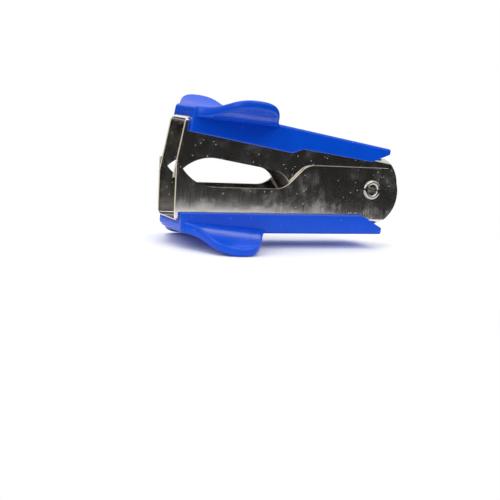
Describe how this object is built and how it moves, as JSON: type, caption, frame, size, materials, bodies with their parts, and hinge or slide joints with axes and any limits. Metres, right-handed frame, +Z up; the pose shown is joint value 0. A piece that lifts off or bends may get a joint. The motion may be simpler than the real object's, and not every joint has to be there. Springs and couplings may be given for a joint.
{
  "type": "staple remover",
  "caption": "Jaw-type office staple remover: hinged U-section steel jaws with fangs, winged plastic finger grips, torsion spring and sliding lock button",
  "frame": {"origin": "centre of the pivot axis, midway between the side plates", "axes": "+X from the fangs to the rear end along the outer jaw's web, +Y along the pivot axis towards the plate that carries the lock, +Z up from the outer (lower) jaw to the inner (upper) jaw"},
  "size_m": [0.0572, 0.034, 0.0335],
  "materials": {
    "plated_steel": "nickel-plated, fine brushed",
    "rivet_steel": "nickel-plated, rolled edge",
    "spring_steel": "drawn wire",
    "blue_plastic": "glossy moulded",
    "lock_steel": "nickel-plated, turned"
  },
  "bodies": {
    "lower_half": {"outer_jaw": "plated_steel", "lower_grip": "blue_plastic", "pivot_rivet": "rivet_steel", "torsion_spring": "spring_steel"},
    "upper_half": {"inner_jaw": "plated_steel", "upper_grip": "blue_plastic"},
    "lock": {"lock_button": "lock_steel", "lock_washer": "lock_steel"}
  },
  "joints": [
    {"name": "jaw_hinge", "type": "hinge", "parent": "lower_half", "child": "upper_half", "pos_m": [0, 0, 0], "axis": [0, 1, 0], "range_deg": [0, 20], "deforming": ["torsion_spring"]},
    {"name": "lock_slide", "type": "slide", "parent": "lower_half", "child": "lock", "axis": [-0.8603, 0, 0.5098], "range_m": [0, 0.00628]}
  ],
  "couplings": [
    {"joint": "lock_slide", "follows": "jaw_hinge", "m_per_rad": 0.01798}
  ]
}
